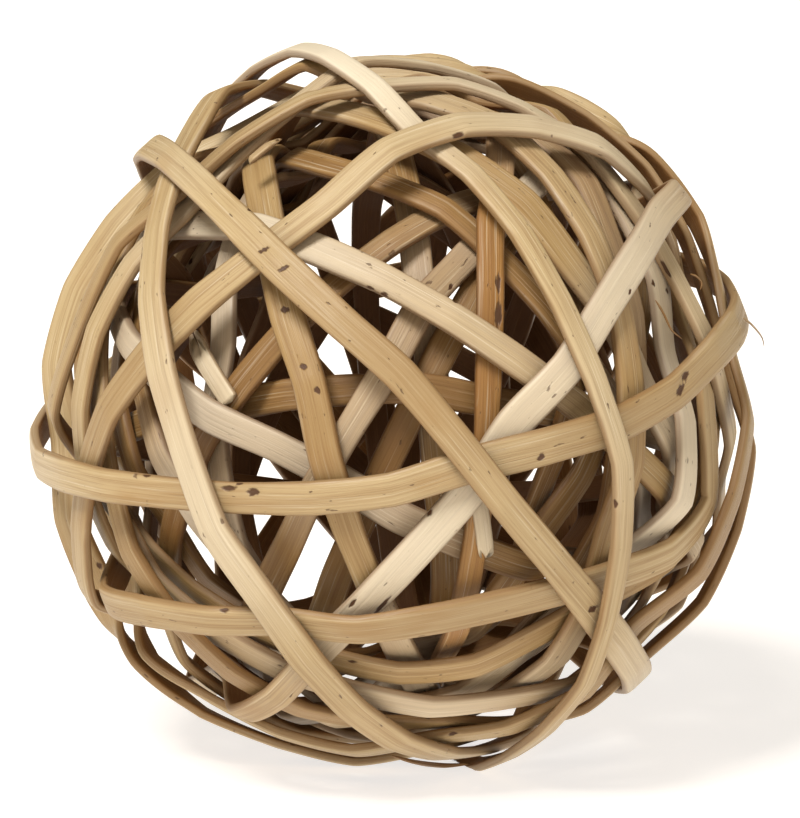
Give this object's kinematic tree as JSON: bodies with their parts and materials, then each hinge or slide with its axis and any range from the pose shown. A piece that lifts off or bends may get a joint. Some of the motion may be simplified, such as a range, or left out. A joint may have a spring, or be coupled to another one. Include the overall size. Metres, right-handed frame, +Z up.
{
  "type": "decorative woven ball",
  "caption": "Hollow ornament ball woven loosely from flat natural willow strips, open inside, resting on a small flat spot.",
  "frame": {"origin": "on the ground under the middle of the ball, at the bottom centre of its box", "axes": "+Z up, -Y towards the front as pictured, +X to the right"},
  "size_m": [0.1188, 0.1168, 0.1179],
  "materials": {
    "willow_pale": "satin",
    "willow_tan": "satin",
    "willow_brown": "matt",
    "willow_stained": "satin"
  },
  "bodies": {
    "root": {"strip_long_diagonal": "willow_pale", "strip_right_bow": "willow_pale", "strip_left_bow": "willow_pale", "strip_top_arch": "willow_pale", "strip_belt": "willow_pale", "strip_right_diagonal": "willow_tan", "strip_low_belt": "willow_pale", "strip_upper_left": "willow_pale", "strip_lowest_belt": "willow_tan", "strip_middle_diagonal": "willow_tan", "strip_under_diagonal": "willow_brown", "strip_steep": "willow_tan", "strip_inner_belt": "willow_brown", "strip_inner_left": "willow_brown", "strip_inner_upright": "willow_brown", "strip_stained": "willow_stained", "strip_top_fold": "willow_tan", "strip_right_inner": "willow_brown", "strip_right_kinked": "willow_tan", "strip_right_deep": "willow_brown", "strip_low_diagonal": "willow_brown", "strip_rim_outer": "willow_pale", "strip_rim_upper": "willow_pale", "strip_rim_left": "willow_pale", "strip_rim_bottom": "willow_tan", "strip_low_bow": "willow_tan", "strip_upper_inner": "willow_brown", "strip_upper_slant": "willow_tan", "strip_left_upright": "willow_brown", "strip_left_slant": "willow_brown", "strip_low_inner": "willow_brown", "strip_far_slant": "willow_brown", "strip_far_bow": "willow_brown"}
  },
  "joints": []
}
